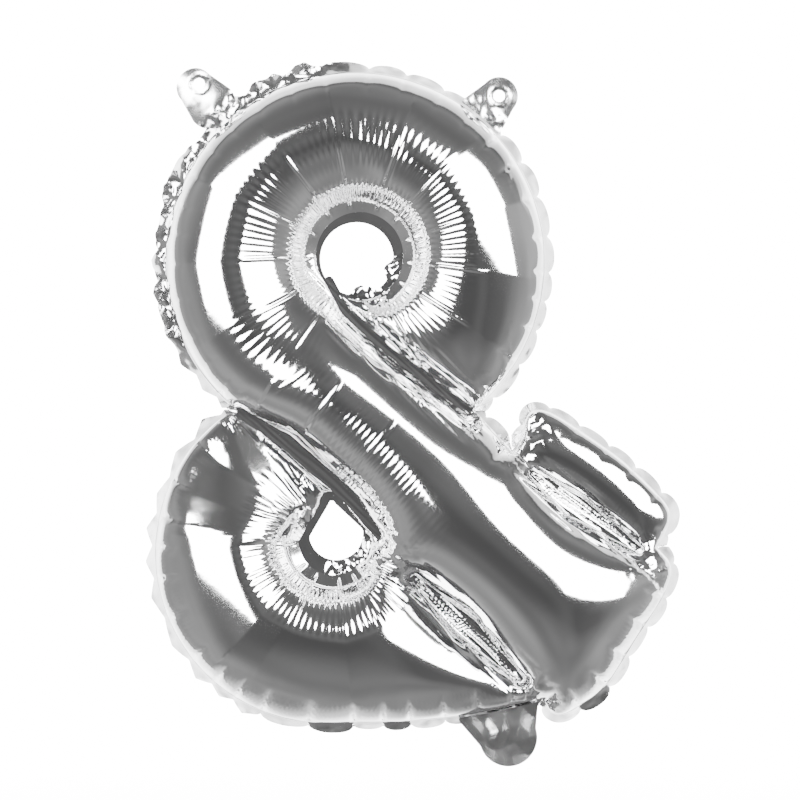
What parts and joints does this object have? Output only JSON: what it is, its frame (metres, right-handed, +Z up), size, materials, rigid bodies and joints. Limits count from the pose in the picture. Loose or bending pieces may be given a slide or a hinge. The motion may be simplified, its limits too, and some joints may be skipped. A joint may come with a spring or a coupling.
{
  "type": "ampersand foil balloon",
  "caption": "Inflated silver foil balloon in the shape of an ampersand, with welded seams, two punched hanging tabs and a filling tail.",
  "frame": {"origin": "midway between the holes of the two hanging tabs, in the plane of the welds", "axes": "+Z up the letter, +X to its reader's right, -Y out of its front"},
  "size_m": [0.2844, 0.0754, 0.3731],
  "materials": {
    "foil": "mirror-bright metallised film, finely creased at the welds",
    "hem": "welded film, crinkled",
    "weld": "welded film, pressed satin",
    "tab": "welded film, slightly bent",
    "tail": "flat film, creased",
    "valve": "flat film"
  },
  "bodies": {
    "root": {"front_foil": "foil", "back_foil": "foil", "upper_bowl_hem": "hem", "arm_hem": "hem", "foot_hem": "hem", "lower_bowl_hem": "hem", "upper_eye_seam": "weld", "lower_eye_seam": "weld", "upper_crossing_seam": "weld", "lower_crossing_seam": "weld", "lower_weld_island": "weld", "right_weld_island": "weld", "hang_tab_left": "tab", "hang_tab_right": "tab", "fill_tail_front": "tail", "fill_tail_back": "tail", "valve_film": "valve"}
  },
  "joints": []
}
